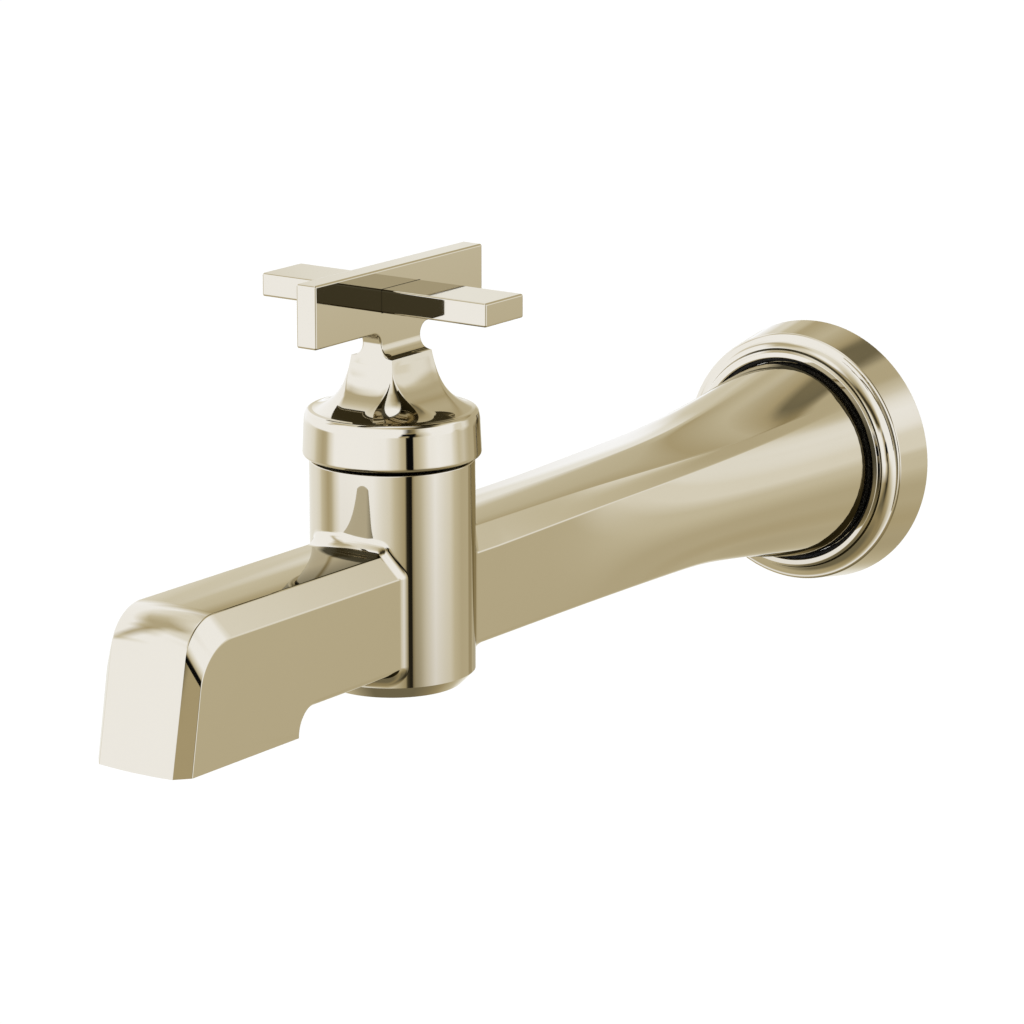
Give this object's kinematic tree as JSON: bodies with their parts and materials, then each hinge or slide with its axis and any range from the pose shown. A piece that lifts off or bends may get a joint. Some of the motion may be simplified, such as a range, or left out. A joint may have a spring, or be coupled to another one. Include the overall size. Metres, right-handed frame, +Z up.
{
  "type": "wall mounted bath faucet",
  "caption": "Wall mounted bath faucet: round moulded wall flange, flared arm, upright barrel with a cross handle, and a chamfered spout with a turned-down nose.",
  "frame": {"origin": "centre of the wall flange in the plane of the wall", "axes": "+Z up, +Y into the wall, spout towards -Y, +X to the right seen from the front"},
  "size_m": [0.0608, 0.2622, 0.1],
  "materials": {
    "polished_nickel": "mirror polished warm nickel plating",
    "raw_brass": "machined brass",
    "stainless_steel": "plain stainless steel",
    "black_rubber": "moulded rubber",
    "white_ceramic": "lapped alumina ceramic",
    "white_plastic": "moulded plastic",
    "grey_plastic": "moulded plastic",
    "black_plastic": "moulded plastic"
  },
  "bodies": {
    "fixed": {"body": "polished_nickel", "wall_flange": "polished_nickel", "aerator_housing": "polished_nickel", "glide_ring": "black_plastic", "wall_gasket": "black_rubber", "flange_o_ring": "black_rubber", "adapter_o_ring_front": "black_rubber", "adapter_o_ring_rear": "black_rubber", "seat_seal": "black_rubber", "cartridge_o_ring": "black_rubber", "aerator_washer": "black_rubber", "inlet_nipple": "raw_brass", "inlet_adapter": "raw_brass", "cartridge_housing": "raw_brass", "cartridge_nut": "raw_brass", "body_set_screw": "stainless_steel", "aerator_screen": "stainless_steel", "ceramic_disc_fixed": "white_ceramic", "thrust_washer": "white_plastic", "aerator_grid": "white_plastic", "aerator_core": "grey_plastic"},
    "handle": {"handle_hub": "polished_nickel", "handle_crossbar": "polished_nickel", "handle_spline_insert": "white_plastic", "handle_set_screw": "stainless_steel", "cartridge_stem": "raw_brass", "stem_o_ring_lower": "black_rubber", "stem_o_ring_upper": "black_rubber", "stem_clip": "stainless_steel", "ceramic_disc_moving": "white_ceramic"}
  },
  "joints": [
    {"name": "handle_turn", "type": "hinge", "parent": "fixed", "child": "handle", "pos_m": [0, -0.1643, 0.0301], "axis": [0, 0, 1], "range_deg": [0, 90]}
  ]
}
